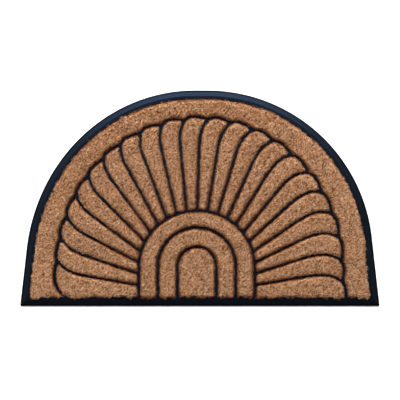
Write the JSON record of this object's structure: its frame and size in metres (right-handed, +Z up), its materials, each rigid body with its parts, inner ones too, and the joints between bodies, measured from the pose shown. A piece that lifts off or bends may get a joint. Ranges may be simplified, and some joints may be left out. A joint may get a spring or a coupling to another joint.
{
  "type": "outdoor mat",
  "caption": "Half-round outdoor door mat: a bevelled rubber tray with raised ribs in a sunburst, its wells filled with upright coir pile for scraping shoes.",
  "frame": {"origin": "middle of the underside: halfway along the width and the depth, on the floor", "axes": "+X along the straight front edge to the right, +Y from the straight edge to the crown of the curve, +Z up"},
  "size_m": [0.762, 0.4572, 0.014],
  "materials": {
    "rubber": "satin moulded rubber, navy-black",
    "coir": "natural coir pile, matt"
  },
  "bodies": {
    "root": {"rubber_tray": "rubber", "coir_border": "coir", "coir_ray_01": "coir", "coir_ray_02": "coir", "coir_ray_03": "coir", "coir_ray_04": "coir", "coir_ray_05": "coir", "coir_ray_06": "coir", "coir_ray_07": "coir", "coir_ray_08": "coir", "coir_ray_09": "coir", "coir_ray_10": "coir", "coir_ray_11": "coir", "coir_ray_12": "coir", "coir_ray_13": "coir", "coir_ray_14": "coir", "coir_ray_15": "coir", "coir_ray_16": "coir", "coir_ray_17": "coir", "coir_ray_18": "coir", "coir_ray_19": "coir", "coir_ray_20": "coir", "coir_ray_21": "coir", "coir_ray_22": "coir", "coir_outer_arch": "coir", "coir_middle_arch": "coir", "coir_core": "coir"}
  },
  "joints": []
}
